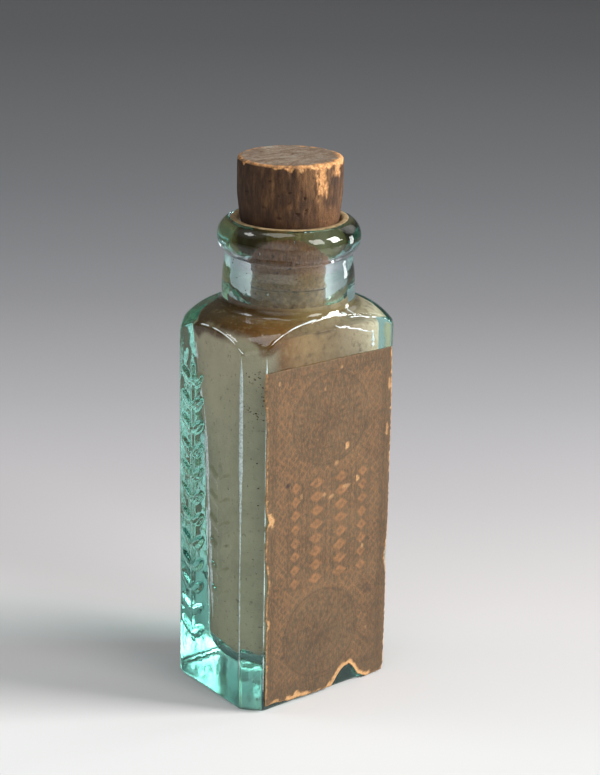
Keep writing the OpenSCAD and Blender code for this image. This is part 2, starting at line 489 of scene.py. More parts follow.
def icosphere(level):
    t = (1 + 5 ** 0.5) / 2
    v = [(-1, t, 0), (1, t, 0), (-1, -t, 0), (1, -t, 0), (0, -1, t), (0, 1, t), (0, -1, -t), (0, 1, -t), (t, 0, -1), (t, 0, 1), (-t, 0, -1), (-t, 0, 1)]
    f = [(0, 11, 5), (0, 5, 1), (0, 1, 7), (0, 7, 10), (0, 10, 11), (1, 5, 9), (5, 11, 4), (11, 10, 2), (10, 7, 6), (7, 1, 8),
         (3, 9, 4), (3, 4, 2), (3, 2, 6), (3, 6, 8), (3, 8, 9), (4, 9, 5), (2, 4, 11), (6, 2, 10), (8, 6, 7), (9, 8, 1)]
    v = [np.array(p, float) / np.linalg.norm(p) for p in v]
    for _ in range(level):
        cache, nf = {}, []

        def mid(a, b):
            key = (min(a, b), max(a, b))
            if key not in cache:
                m = v[a] + v[b]
                v.append(m / np.linalg.norm(m))
                cache[key] = len(v) - 1
            return cache[key]
        for a, b, c in f:
            ab, bc, ca = mid(a, b), mid(b, c), mid(c, a)
            nf += [(a, ab, ca), (b, bc, ab), (c, ca, bc), (ab, bc, ca)]
        f = nf
    return np.array(v), f


def glass_material():
    m, n = material("aqua_glass")
    co = n.obj()
    fine = n.noise(co, 0.55, 3.0, 0.5)
    smear = n.noise(n.obj((1000, 1000, 260)), 0.22, 5.0, 0.6)
    sep = n.add("ShaderNodeSeparateXYZ")
    n.nt.links.new(co, sep.inputs[0])
    rough = n.math("ADD", n.range(smear, 0.45, 0.75, 0.012, 0.05), n.range(sep.outputs[2], 7.0, 0.5, 0.0, 0.12))
    bump = n.bump(fine, 0.10, 0.0004)
    # the glass is thicker and greener at the foot, most of all behind the contents
    rear = n.math("MULTIPLY", n.range(sep.outputs[1], -1.0, 3.0, 0, 1), 6.0)
    low_z = n.math("SUBTRACT", sep.outputs[2], rear)
    tint = n.mix(n.range(low_z, 10.0, 6.0, 0, 1), (0.985, 0.995, 0.99), (0.31, 0.475, 0.45))
    corner = n.range(n.math("ADD", sep.outputs[0], sep.outputs[1]), -25.1, -25.45, 0, 1)
    corner = n.math("MULTIPLY", corner, n.range(sep.outputs[2], 7.5, 6.5, 0, 1))
    foot_tint = n.mix(n.range(sep.outputs[2], 3.8, 2.4, 0, 1), (1.0, 1.0, 1.0), (0.37, 0.31, 0.29))
    tint = n.mix(corner, tint, foot_tint)
    # painted shade: the glass greyed at the right end of the shoulder
    painted_shade_right = n.math("MULTIPLY", n.range(sep.outputs[0], 12.6, 13.8, 0, 1), n.range(sep.outputs[2], 58.0, 61.0, 0, 1))
    painted_shade_right = n.math("MULTIPLY", painted_shade_right, n.range(sep.outputs[2], 68.5, 66.5, 0, 1))
    tint = n.mix(painted_shade_right, tint, (0.42, 0.46, 0.46))
    tint = n.mix(n.range(sep.outputs[2], 76.4, 78.0, 0, 1), tint, (0.92, 0.77, 0.88))
    glass = n.add("ShaderNodeBsdfPrincipled", {"Base Color": tint, "IOR": 1.52, "Transmission Weight": 1.0, "Roughness": rough, "Normal": bump})
    clear = n.add("ShaderNodeBsdfTransparent", {"Color": (0.90, 0.93, 0.925, 1)})
    lp = n.add("ShaderNodeLightPath")
    shader = glass.outputs[0]
    for kind in ("Is Shadow Ray", "Is Diffuse Ray"):
        mix = n.add("ShaderNodeMixShader")
        n.nt.links.new(lp.outputs[kind], mix.inputs[0])
        n.nt.links.new(shader, mix.inputs[1])
        n.nt.links.new(clear.outputs[0], mix.inputs[2])
        shader = mix.outputs[0]
    vol = n.add("ShaderNodeVolumeAbsorption", {"Color": (0.14, 0.74, 0.66, 1), "Density": 38.0})
    n.out(shader, vol.outputs[0])
    return m


# ------------------------------------------------------------------ powder
def arch_height(th):
    """Height at which the dome cuts the outer faces, along each direction."""
    d = rho_box(th) - SH_CR
    return SH_CZ + np.sqrt(np.clip(SH_R ** 2 - d * d, 0, None))


def build_powder():
    # pressed against the glass at the front, sides and shoulder, but standing off it along
    # the back wall and under its foot
    ang = np.degrees(TH)
    wall = 0.36 * smoothstep(30, 38, ang) * smoothstep(156, 149, ang)

    def back_gap(z):
        """The gap behind the powder: patches of it still cling to the glass."""
        n = fbm(DIRX * 5 + 2, DIRY * 5, z * 0.33, 3, 79) + np.interp(z, [6, 20, 40, 62], [0.30, 0.10, 0.02, -0.06])
        return wall * smoothstep(-0.06, 0.06, n)
    rings = []
    base = cavity_ring(FLOOR_Z, shrink=4.6, off=0.30)
    c = np.array([1.2, -1.2])
    for s in (0.2, 0.42, 0.65, 0.85):
        q = base.copy()
        q[:, :2] = c + (base[:, :2] - c) * s
        q[:, 2] = FLOOR_Z + 0.30 + 0.30 * (1 - s * s)
        rings.append(q)
    foot = 4.6
    for i in range(9, 0, -1):
        f = math.radians(90 * i / 9)
        g = 0.30 * float(smoothstep(8, 62, math.degrees(f)))
        off = np.maximum(g, -0.03 + back_gap(9.0))
        rings.append(cavity_ring(FLOOR_Z + g + (foot - g) * (1 - math.sin(f)), shrink=foot * (1 - math.cos(f)), off=off))
    for z in np.arange(FLOOR_Z + 5.0, 60.0, 0.8):
        rings.append(cavity_ring(z, off=-0.03 + back_gap(z)))
    for i in range(0, 17):
        f = math.radians(5 + 83 * i / 16)
        z = SH_CZ + IN_R * math.sin(f)
        fade = float(smoothstep(45, 20, math.degrees(f)))
        rings.append(cavity_ring(z + 0.03, r_lim=SH_CR + IN_R * math.cos(f), off=-0.03 + back_gap(62.0) * fade))
    # up the flare into the root of the neck
    for r, z in ((9.8, 67.24), (8.9, 67.31), (8.1, 67.48), (7.5, 67.78), (7.12, 68.22), (6.88, 68.77), (6.73, 69.4), (6.65, 70.2), (6.63, 70.9)):
        rings.append(round_ring(r, z))
    top = rings[-1].copy()
    for s, dz in ((0.95, 0.10), (0.86, 0.0), (0.72, -0.3), (0.55, -0.7), (0.38, -1.0), (0.2, -1.2)):
        q = top.copy()
        q[:, :2] *= s
        q[:, 2] += dz + 0.2 * fbm(q[:, 0] * 0.6, q[:, 1] * 0.6, 0, 3, 77)
        rings.append(q)
    rings = np.array(rings)
    verts, faces = lathe(rings, (1.2, -1.2, FLOOR_Z + 0.62), (0, 0, float(top[:, 2].mean()) - 1.25))
    # where the powder is coloured brown: above the arches, half way down the front panel and high on the front left
    # corner
    v = np.asarray(verts)
    th = np.arctan2(v[:, 1], v[:, 0])
    sh = th + np.where(v[:, 0] < -8, -0.12, 0.0)
    edge = np.minimum(arch_height(sh) - 0.9, 66.15)
    n1 = fbm(v[:, 0] * 0.35, v[:, 1] * 0.35, v[:, 2] * 0.35, 4, 78)
    brown = smoothstep(-0.55, 0.55, v[:, 2] + 0.5 * n1 - edge)
    front = smoothstep(-5.5, -8.0, v[:, 1]) * smoothstep(-11.5, -9.0, v[:, 0])
    brown = np.maximum(brown, 1.0 * front * smoothstep(55.8, 61.2, v[:, 2] + 1.4 * n1))
    corner = smoothstep(-20.6, -22.2, v[:, 0] + v[:, 1])
    brown = np.maximum(brown, 0.85 * corner * smoothstep(57.0, 62.5, v[:, 2] + 1.4 * n1))
    return make_mesh("dry_powder", verts, faces, "bottle", attrs={"brown": brown})


def powder_material():
    m, n = material("herb_powder")
    co = n.obj()
    grain = n.noise(co, 3.2, 3.0, 0.65)
    clump = n.noise(co, 0.18, 4.0, 0.6)
    col = n.ramp(clump, [(0.3, (0.42, 0.311, 0.207)), (0.5, (0.49, 0.364, 0.245)), (0.72, (0.555, 0.414, 0.281))])
    # brown on the shoulder, with painted light and shade: dark at the left, lit at the right, across the camera's view
    sep = n.add("ShaderNodeSeparateXYZ")
    n.nt.links.new(co, sep.inputs[0])
    side = n.math("ADD", n.math("MULTIPLY", sep.outputs[0], 0.787), n.math("MULTIPLY", sep.outputs[1], -0.617))
    across = n.range(n.math("ADD", side, n.math("MULTIPLY", clump, 5.0)), -12.0, 18.0, 0, 1, smooth=False)
    brown = n.ramp(across, [(0.05, (0.095, 0.048, 0.016)), (0.26, (0.125, 0.044, 0.008)), (0.44, (0.20, 0.082, 0.023)), (0.56, (0.27, 0.145, 0.062)), (0.74, (0.225, 0.138, 0.074)), (0.86, (0.34, 0.24, 0.155)), (0.97, (0.50, 0.40, 0.29))])
    mottle = n.noise(co, 0.75, 4.0, 0.65)
    brown = n.mix(n.range(mottle, 0.50, 0.70, 0, 0.55), brown, (0.07, 0.035, 0.012))
    brown = n.mix(n.range(mottle, 0.48, 0.30, 0, 0.35), brown, (0.36, 0.23, 0.11))
    col = n.mix(n.attr("brown"), col, brown)
    specks = n.noise(co, 1.6, 2.0, 0.5)
    col = n.mix(n.range(specks, 0.62, 0.74, 0, 0.55), col, (0.16, 0.11, 0.065))
    col = n.mix(n.range(grain, 0.62, 0.8, 0, 0.5), col, (0.50, 0.42, 0.29))
    bump = n.bump(grain, 0.5, 0.0002)
    b = n.add("ShaderNodeBsdfPrincipled", {"Base Color": col, "Roughness": 1.0, "Specular IOR Level": 0.1, "Normal": bump})
    n.out(b.outputs[0])
    return m


# ------------------------------------------------------------------ dust clinging inside the neck
def build_film():
    rings_o, rings_i = [], []
    prof = [(6.62, 70.6), (6.6, 71.2), (6.6, 71.8), (6.6, 72.4), (6.6, 72.9), (6.6, 73.3), (6.6, 73.62)]
    zz = np.array([p[1] for p in prof])
    rr = np.array([p[0] for p in prof])
    t = np.linspace(0, len(prof) - 1, 16)
    ro, zo = np.interp(t, range(len(prof)), rr), np.interp(t, range(len(prof)), zz)
    cols = 160
    th = np.linspace(-math.pi, math.pi, cols, endpoint=False)
    out, inn = [], []
    for r, z in zip(ro, zo):
        g = 0.05
        flat = False
        ru, zu = (r - (0 if flat else g)), (z - (g if flat else 0))
        thick = 0.09 + 0.05 * fbm(np.cos(th) * 2, np.sin(th) * 2, z * 0.6, 3, 31)
        thick = thick * np.interp(z, [73.2, 73.6], [1.0, 0.55])
        out.append(np.stack([ru * np.cos(th), ru * np.sin(th), np.full(cols, zu)], 1))
        ri = ru - (0 if flat else 1) * thick
        zi = zu - (thick if flat else 0 * thick)
        inn.append(np.stack([ri * np.cos(th), ri * np.sin(th), zi + np.zeros(cols)], 1))
    out, inn = np.array(out), np.array(inn)
    n = len(out) * cols
    verts = np.concatenate([out.reshape(-1, 3), inn.reshape(-1, 3)])
    faces = ring_faces(len(out), cols) + ring_faces(len(inn), cols, n, True)
    j = np.arange(cols)
    k = (j + 1) % cols
    last = (len(out) - 1) * cols
    faces += np.stack([j, n + j, n + k, k], 1).tolist()
    faces += np.stack([last + j, last + k, n + last + k, n + last + j], 1).tolist()
    return make_mesh("neck_dust", verts, faces, "bottle")


def film_material():
    m, n = material("clinging_dust")
    co = n.obj()
    fleck = n.noise(co, 1.3, 5.0, 0.65)
    streak = n.noise(n.obj((1000, 1000, 220)), 0.8, 4.0, 0.6)
    col = n.ramp(fleck, [(0.32, srgb(84, 54, 32)), (0.55, srgb(124, 88, 54)), (0.75, srgb(156, 118, 78))])
    col = n.mix(n.range(streak, 0.5, 0.75, 0, 0.45), col, srgb(76, 54, 38))
    b = n.add("ShaderNodeBsdfPrincipled", {"Base Color": col, "Roughness": 0.95, "Specular IOR Level": 0.15, "Normal": n.bump(fleck, 0.4, 0.0002)})
    n.out(b.outputs[0])
    return m


# ------------------------------------------------------------------ cork
def build_cork():
    cols = 320
    th = np.linspace(-math.pi, math.pi, cols, endpoint=False)
    cx, cy = np.cos(th), np.sin(th)
    pz = [CORK_END, CORK_END + 0.5, SEAT_Z, 84.2, 84.7, 86, 87, 88.6, 90, 93, 94.3, 95.0]
    pr = [6.2, 6.53, 6.53, 8.35, 8.4, 8.57, 8.68, 8.86, 8.95, 8.97, 8.93, 8.85]
    rings, rim_a, top_a, low_a = [], [], [], []

    def around(deg, wide):
        return np.exp(-((np.degrees(np.angle(np.exp(1j * (th - math.radians(deg))))) / wide) ** 2))

    def put(r, z, rim, top, low=0.0):
        rings.append(np.stack([r * cx, r * cy, z + np.zeros(cols)], 1))
        rim_a.append(rim + np.zeros(cols)); top_a.append(top + np.zeros(cols)); low_a.append(low + np.zeros(cols))
    # lower end
    for s in np.linspace(0.08, 0.95, 12):
        rr = s * 6.1
        put(rr, CORK_END + 0.06 * fbm(rr * cx, rr * cy, 1, 3, 3), 0, 0, 1)
    put(6.15, CORK_END + 0.02, 0, 0, 1)
    for z in np.arange(CORK_END + 0.15, 84.2, 0.35):
        r0 = float(np.interp(z, pz, pr))
        inside = float(smoothstep(84.3, 83.0, z))
        dusk = 0.75 + 0.4 * fbm(cx * 1.5, cy * 1.5, z * 0.4, 3, 58)
        put(r0 - 0.05 * np.abs(fbm(cx * 6, cy * 6, z * 0.5, 3, 4)), z, 0, 0, np.clip(dusk, 0, 1) * inside)
    # exposed side
    chip_n = fbm(cx * 3.0, cy * 3.0, 0, 4, 51)
    right = around(-70, 34)
    rim_drop = 0.08 + 0.75 * smoothstep(0.02, 0.5, chip_n) * smoothstep(-0.5, 0.3, fbm(cx * 9, cy * 9, 2, 3, 55)) + 0.75 * right * smoothstep(-0.25, 0.45, fbm(cx * 6, cy * 6, 4, 3, 52))
    for z in np.arange(84.2, 94.95, 0.15):
        r0 = float(np.interp(z, pz, pr))
        grain = fbm(cx * 11, cy * 11, z * 0.35, 4, 61)
        lump = fbm(cx * 1.6, cy * 1.6, z * 0.16, 3, 62)
        pit = smoothstep(0.50, 0.72, fbm(cx * 8.0, cy * 8.0, z * 1.1, 3, 63)) * smoothstep(85, 86.5, z)
        r = r0 + 0.05 * grain + 0.13 * lump - 0.28 * pit
        below = 95.0 - z
        rag = fbm(cx * 20, cy * 20, z * 2.4, 4, 64)
        chew = smoothstep(rim_drop * 2.6, 0.0, below + 0.9 * np.clip(rag, -0.4, 1) * rim_drop)
        r = r - 0.42 * chew * rim_drop
        tan = smoothstep(0.38, 0.72, chew + 0.45 * rag)
        # scraped patches at the right of the front
        patch = around(-92, 9.5) * smoothstep(88.0, 91.0, z) * 0.95
        patch = np.maximum(patch, 0.85 * around(-66, 13) * smoothstep(91.6, 93.6, z))
        patch = np.maximum(patch, 0.55 * around(-116, 14) * smoothstep(91.5, 94.2, z))
        rough = 0.40 * fbm(cx * 22, cy * 22, z * 1.3, 4, 66) + 0.35 * fbm(cx * 9, cy * 9, z * 0.45, 3, 67)
        patch = smoothstep(0.42, 0.85, patch + rough) * smoothstep(0.02, 0.3, patch)
        r = r - 0.10 * patch
        low = 0.55 * around(-74, 22) * smoothstep(89.0, 86.0, z) * (0.6 + 0.4 * rag)
        put(r, z, np.maximum(tan, 0.8 * patch), 0, np.clip(low, 0, 1))
    # rim and top
    side_r = np.hypot(rings[-1][:, 0], rings[-1][:, 1])
    rim_n = smoothstep(-0.35, 0.3, fbm(cx * 12, cy * 12, 7, 4, 74) + 0.35 * right)
    for s, up in ((0.995, 0.10), (0.985, 0.19), (0.97, 0.26), (0.955, 0.30)):
        rr = side_r * s
        put(rr, 94.95 + up - 0.1 * np.clip(chip_n, 0, 1), 0.25 + 0.7 * rim_n, 0.25)
    ur, vr = 0.787, -0.617
    for s in np.linspace(0.93, 0.04, 34):
        rr = side_r * s
        x, y = rr * cx, rr * cy
        along, across = x * ur + y * vr, -x * vr + y * ur
        streak = fbm(along * 0.16, across * 1.1, 3, 4, 71)
        hole = smoothstep(0.45, 0.7, fbm(along * 0.35, across * 0.9, 8, 3, 72))
        edge_in = smoothstep(0.86, 0.98, s + 0.09 * fbm(cx * 5, cy * 5, 2, 3, 73) - 0.05 * (1 - rim_n))
        z = 95.28 + 0.05 * streak - 0.18 * hole + 0.02
        put(rr, np.minimum(z, CORK_TOP), edge_in * 0.8, 1 - edge_in * 0.7)
    rings = np.array(rings)
    verts, faces = lathe(rings, (0, 0, CORK_END + 0.05), (0, 0, 95.25))
    attrs = {}
    for key, val in (("rim", rim_a), ("top", top_a), ("low", low_a)):
        a = np.array(val).reshape(-1)
        attrs[key] = np.concatenate([a, [a[:cols].mean(), a[-cols:].mean()]])
    return make_mesh("cork_bung", verts, faces, "cork", attrs=attrs)


def cork_material():
    m, n = material("old_cork")
    co = n.obj()
    rim, top, low = n.attr("rim"), n.attr("top"), n.attr("low")
    vert = n.noise(n.obj((1000, 1000, 230)), 1.1, 5.0, 0.65)
    blot = n.noise(co, 0.28, 4.0, 0.6)
    fine = n.noise(co, 2.6, 4.0, 0.7)
    sep = n.add("ShaderNodeSeparateXYZ")
    n.nt.links.new(co, sep.inputs[0])
    side = n.ramp(vert, [(0.30, srgb(42, 29, 20)), (0.5, srgb(82, 56, 36)), (0.72, srgb(126, 92, 60))])
    side = n.mix(n.range(blot, 0.42, 0.66, 0.0, 0.6), side, srgb(54, 38, 28))
    # painted shade: darker at the left, across the camera's view; also darker low down
    across = n.math("ADD", n.math("MULTIPLY", sep.outputs[0], 0.787), n.math("MULTIPLY", sep.outputs[1], -0.617))
    side = n.mix(n.range(n.math("ADD", across, n.math("MULTIPLY", blot, 5.0)), 1.0, -6.5, 0, 0.55), side, srgb(44, 34, 28))
    side = n.mix(n.range(n.math("ADD", sep.outputs[2], n.math("MULTIPLY", blot, 4.0)), 90.5, 87.5, 0, 0.45), side, srgb(50, 32, 24))
    dusty = n.ramp(fine, [(0.3, srgb(98, 62, 36)), (0.55, srgb(146, 102, 64)), (0.75, srgb(178, 132, 88))])
    side = n.mix(low, side, dusty)
    tan = n.ramp(fine, [(0.3, srgb(146, 94, 54)), (0.52, srgb(208, 152, 98)), (0.75, srgb(244, 200, 146))])
    streaks = n.noise(n.obj((380, 1150, 1000), (0, 0, math.radians(38))), 0.75, 5.0, 0.62)
    cap = n.ramp(streaks, [(0.30, srgb(92, 74, 60)), (0.5, srgb(116, 98, 82)), (0.7, srgb(142, 130, 114))])
    cap = n.mix(n.range(blot, 0.5, 0.68, 0, 0.4), cap, srgb(146, 142, 132))
    cap = n.mix(n.range(fine, 0.6, 0.8, 0, 0.6), cap, srgb(86, 64, 46))
    col = n.mix(top, side, cap)
    col = n.mix(rim, col, tan)
    pits = n.noise(co, 1.4, 3.0, 0.6)
    col = n.mix(n.range(pits, 0.63, 0.72, 0, 0.8), col, srgb(38, 26, 20))
    h = n.math("ADD", n.math("MULTIPLY", fine, 0.6), vert)
    b = n.add("ShaderNodeBsdfPrincipled", {"Base Color": col, "Roughness": 0.82, "Specular IOR Level": 0.3, "Normal": n.bump(h, 0.6, 0.0003)})
    n.out(b.outputs[0])
    return m


# ------------------------------------------------------------------ label
LAB_L = [(1.0, -13.2), (15.6, -13.16), (16.6, -12.85), (17.9, -13.31), (21.6, -13.14), (24.3, -12.8), (29.2, -13.47), (34.7, -13.34), (35.9, -12.85), (36.8, -13.1),
         (38.4, -13.5), (45.6, -13.5), (52.7, -13.39), (59, -13.85), (62.5, -13.74)]
LAB_R = [(0.3, 13.3), (1.5, 13.95), (6, 13.88), (14, 14.02), (19.1, 13.81), (23.1, 13.3), (26, 13.63), (29.7, 14.02), (39.4, 13.88), (52.5, 13.77), (59.9, 13.55), (62.6, 13.35)]
LAB_B = [(-13.6, 1.24), (-10.86, 1.25), (-8.0, 0.85), (-6.9, 0.8), (-6.2, 0.85), (-5.5, 0.75), (-4.3, 0.62), (-1.17, 0.58), (1.5, 0.66), (2.3, 1.5), (3.2, 2.8), (4.5, 3.75),
         (5.7, 3.95), (6.7, 2.9), (7.7, 1.3), (9.6, 0.25), (13.4, 0.45), (14.2, 1.3)]


def label_limits():
    lz, lx = zip(*LAB_L)
    rz, rx = zip(*LAB_R)
    bx, bz = zip(*LAB_B)

    def left(z):
        return np.interp(z, lz, lx) + 0.10 * fbm(z * 1.3, 2.0, 0, 4, 81)

    def right(z):
        return np.interp(z, rz, rx) + 0.09 * fbm(z * 1.3, 9.0, 0, 4, 82)

    def bottom(x):
        return np.interp(x, bx, bz) + 0.10 * fbm(x * 1.6, 5.0, 0, 4, 83)

    def top(x):
        return 62.5 + 0.04 * fbm(x * 0.8, 1.0, 0, 3, 84) - 0.004 * x
    return left, right, bottom, top


def front_outline():
    """The front of the glass as y against x, round both front corners."""
    th = np.radians(np.linspace(-158, -22, 1200))
    rho = rho_box(th)
    return rho * np.cos(th), rho * np.sin(th)


def label_ink(X, Z):
    """Faded printing, 0..1: borders, two rosettes and rows of plain ornament. No lettering.
    Returns the lines that have darkened and those that have gone pale."""
    ink = np.zeros_like(X)
    pale = np.zeros_like(X)

    def line(d, w, s=1.0):
        return s * np.exp(-((d / w) ** 2))
    # double border
    for off, s in ((1.1, 0.6), (1.6, 0.35)):
        bx = np.abs(np.abs(X) - (13.3 - off))
        bz = np.minimum(np.abs(Z - (61.8 - off)), np.abs(Z - (2.3 + off)))
        ink = np.maximum(ink, line(bx, 0.13, s) * (Z > 2.3 + off) * (Z < 61.8 - off))
        ink = np.maximum(ink, line(bz, 0.13, s) * (np.abs(X) < 13.3 - off))
    # rosettes
    for cx, cz, r in ((0.1, 52.0, 8.2), (-1.2, 12.2, 8.2)):
        dx, dz = X - cx, Z - cz
        rr = np.hypot(dx, dz)
        an = np.arctan2(dz, dx)
        for q, w, s in ((r, 0.16, 0.75), (r - 0.55, 0.10, 0.5), (r - 3.0, 0.14, 0.7), (r - 3.4, 0.09, 0.4)):
            ink = np.maximum(ink, line(rr - q, w, s))
        band = (rr < r - 0.9) & (rr > r - 2.7)
        # band of turned beads
        bead = 0.5 + 0.5 * np.cos(an * 30)
        ink = np.maximum(ink, 0.65 * band * smoothstep(0.35, 0.9, bead) * line(rr - (r - 1.8), 0.62))
        # woven petals inside
        inner = rr < r - 3.7
        pet = np.abs(np.sin(an * 8 + rr * 0.55)) * np.abs(np.sin(an * 8 - rr * 0.55))
        ink = np.maximum(ink, 0.55 * inner * smoothstep(0.35, 0.75, pet))
        ink = np.maximum(ink, line(rr - 2.1, 0.14, 0.6))
        ink = np.where(rr < 1.9, 0.15 + 0.4 * smoothstep(0.3, 0.8, np.abs(np.cos(an * 3))), ink)
    # guilloche behind everything
    free = (np.hypot(X - 0.1, Z - 52.0) > 8.6) & (np.hypot(X + 1.2, Z - 12.2) > 8.6) & (np.abs(X) < 11.4) & (Z > 4.4) & (Z < 59.8)
    h1 = np.abs(np.sin((X + Z) * 2.0 + 0.9 * np.sin(Z * 0.55)))
    h2 = np.abs(np.sin((X - Z) * 2.0 + 0.9 * np.sin(Z * 0.55)))
    pale = np.maximum(pale, 0.55 * free * (1 - smoothstep(0.0, 0.4, np.minimum(h1, h2))))
    # upright ornament bars in the middle: rows of lozenges between rules
    mid = (Z > 21.75) & (Z < 42.15)
    for bx, wide in ((-7.2, 1.15), (-2.6, 1.7), (2.8, 1.7), (7.6, 1.15)):
        inside = mid & (np.abs(X - bx) < wide + 0.55)
        ink = np.where(inside, 0.08, ink)
        loz = (np.abs(X - bx) / wide + np.abs(((Z - 21.75) % 2.55) - 1.275) / 1.12)
        pale = np.where(inside, 0.85 * smoothstep(1.05, 0.8, loz) * (0.35 + 0.65 * smoothstep(0.28, 0.42, loz)), pale)
        ink = np.maximum(ink, mid * line(np.abs(X - bx) - (wide + 0.5), 0.10, 0.5))
    return np.clip(ink, 0, 1), np.clip(pale, 0, 1)


def build_label():
    left, right, bottom, top = label_limits()
    nu, nv = 120, 250
    u = np.linspace(0, 1, nu)
    v = np.linspace(0, 1, nv)
    u = 0.5 - 0.5 * np.cos(math.pi * u) * (0.25) + (u - 0.5) * 0.75   # a little closer at the edges
    U_, V_ = np.meshgrid(u, v)
    X = -13.5 + 27.2 * U_
    Z = 1 + 61.4 * V_
    for _ in range(14):
        zb, zt = bottom(X), top(X)
        Z = zb + (zt - zb) * V_
        xl, xr = left(Z), right(Z)
        X = xl + (xr - xl) * U_
    ox, oy = front_outline()
    ys = np.interp(X, ox, oy)
    # how far each point is from a torn edge
    d_edge = np.minimum(np.minimum(X - left(Z), right(Z) - X), Z - bottom(X))
    # distance to the notch and to the small tear
    bx = np.linspace(-14, 14.4, 900)
    bz = bottom(bx)
    dn = np.full(X.shape, 99.0)
    ds = np.full(X.shape, 99.0)
    low = Z < 9
    for ax, az in zip(bx, bz):
        dd = np.hypot(X[low] - ax, Z[low] - az)
        if 1.2 < ax < 10.2:
            dn[low] = np.minimum(dn[low], dd)
        if -8.2 < ax < -4.2:
            ds[low] = np.minimum(ds[low], dd)
    rag = fbm(X * 1.8, Z * 1.8, 0, 4, 91)
    ply = smoothstep(0.85 + 0.35 * 0, 0.55, dn + 0.35 * rag)
    ply = np.maximum(ply, smoothstep(0.95, 0.6, ds + 0.4 * rag) * (Z < 2.7))
    # chips where the printed skin has come away at the edges and in spots
    chips = np.zeros_like(X)
    for cx, cz, rx, rz, s in ((-12.6, 36.1, 1.15, 1.25, 1.0), (-12.9, 37.2, 0.7, 0.5, 0.9), (-12.95, 16.8, 0.5, 0.9, 0.9), (-6.2, 1.3, 1.1, 0.8, 1.0), (-10.9, 1.6, 0.7, 0.35, 0.8), (3.9, 38.9, 1.1, 0.4, 0.5), (6.4, 39.6, 0.35, 0.75, 0.8), (3.9, 46.3, 0.45, 0.8, 0.9),
                              (1.7, 43.6, 0.5, 0.45, 0.5), (0.6, 37.6, 0.6, 0.35, 0.5), (-0.9, 38.3, 0.35, 0.4, 0.5), (-1.3, 57.6, 0.25, 0.3, 0.5), (8.0, 26.4, 0.25, 0.7, 0.5), (2.3, 60.9, 0.3, 0.25, 0.6),
                              (-11.0, 60.4, 0.3, 0.4, 0.4), (12.9, 47.5, 0.35, 1.4, 0.6), (13.1, 55.8, 0.3, 1.2, 0.6), (9.3, 10.2, 0.25, 0.5, 0.3), (-5.9, 39.0, 0.25, 0.6, 0.3)):
        q = np.hypot((X - cx) / rx, (Z - cz) / rz) + 0.55 * rag
        chips = np.maximum(chips, s * smoothstep(1.0, 0.7, q))
    thin = smoothstep(0.30, 0.04, d_edge + 0.30 * rag + 0.20 * fbm(X * 5, Z * 5, 0, 3, 92))
    tan = np.clip(np.maximum(np.maximum(ply, chips), 0.85 * thin), 0, 1)
    dark = np.zeros_like(X)
    for cx, cz, r_, s in ((-9.0, 41.7, 0.5, 0.9), (-9.6, 9.6, 0.6, 0.4), (9.2, 18.0, 1.6, 0.35), (-3.6, 29.5, 0.4, 0.4), (6.2, 50.5, 0.3, 0.4)):
        dark = np.maximum(dark, s * smoothstep(1.0, 0.3, np.hypot(X - cx, Z - cz) / r_ + 0.4 * rag))
    wave = 0.035 * fbm(X * 0.22, Z * 0.16, 0, 3, 93) + 0.012 * fbm(X * 1.4, Z * 1.4, 0, 3, 94)
    thick = 0.15 - 0.075 * np.maximum(ply, chips) - 0.05 * thin
    nrm_x = np.clip((np.abs(X) - 13.0) / 1.2, 0, 1) * 0.7 * np.sign(X)
    gap = 0.065
    lift = 0.14 * smoothstep(0.5, 0.0, dn) + 0.10 * smoothstep(0.5, 0.0, ds) + 0.05 * smoothstep(0.5, 0.0, d_edge) * (0.5 + 0.5 * rag)
    yf = ys - gap - thick - wave * 0.6 - 0.03 - lift
    yb = ys - gap - lift * 0.9
    front = np.stack([X + nrm_x * (gap + thick), yf, Z], -1)
    back = np.stack([X + nrm_x * gap, yb, Z], -1)
    nvv, nuu = X.shape
    n = nvv * nuu
    verts = np.concatenate([front.reshape(-1, 3), back.reshape(-1, 3)])
    idx = np.arange(n).reshape(nvv, nuu)
    a, b, c, d = idx[:-1, :-1], idx[:-1, 1:], idx[1:, 1:], idx[1:, :-1]
    f = np.stack([a, b, c, d], -1).reshape(-1, 4)
    g = (np.stack([d, c, b, a], -1) + n).reshape(-1, 4)
    faces = f.tolist() + g.tolist()
    bott, topp = idx[0], idx[-1]
    lft, rgt = idx[:, 0], idx[:, -1]
    faces += np.stack([bott[1:], bott[:-1], bott[:-1] + n, bott[1:] + n], 1).tolist()
    faces += np.stack([topp[:-1], topp[1:], topp[1:] + n, topp[:-1] + n], 1).tolist()
    faces += np.stack([lft[:-1], lft[1:], lft[1:] + n, lft[:-1] + n], 1).tolist()
    faces += np.stack([rgt[1:], rgt[:-1], rgt[:-1] + n, rgt[1:] + n], 1).tolist()
    ink, pale = label_ink(X, Z)
    attrs = {}
    for key, val in (("tan", tan), ("ink", ink), ("pale", pale), ("dark", dark)):
        attrs[key] = np.concatenate([val.reshape(-1), (val if key in ("tan", "dark") else val * 0).reshape(-1)])
    return make_mesh("paper_label", verts, faces, "bottle", attrs=attrs)


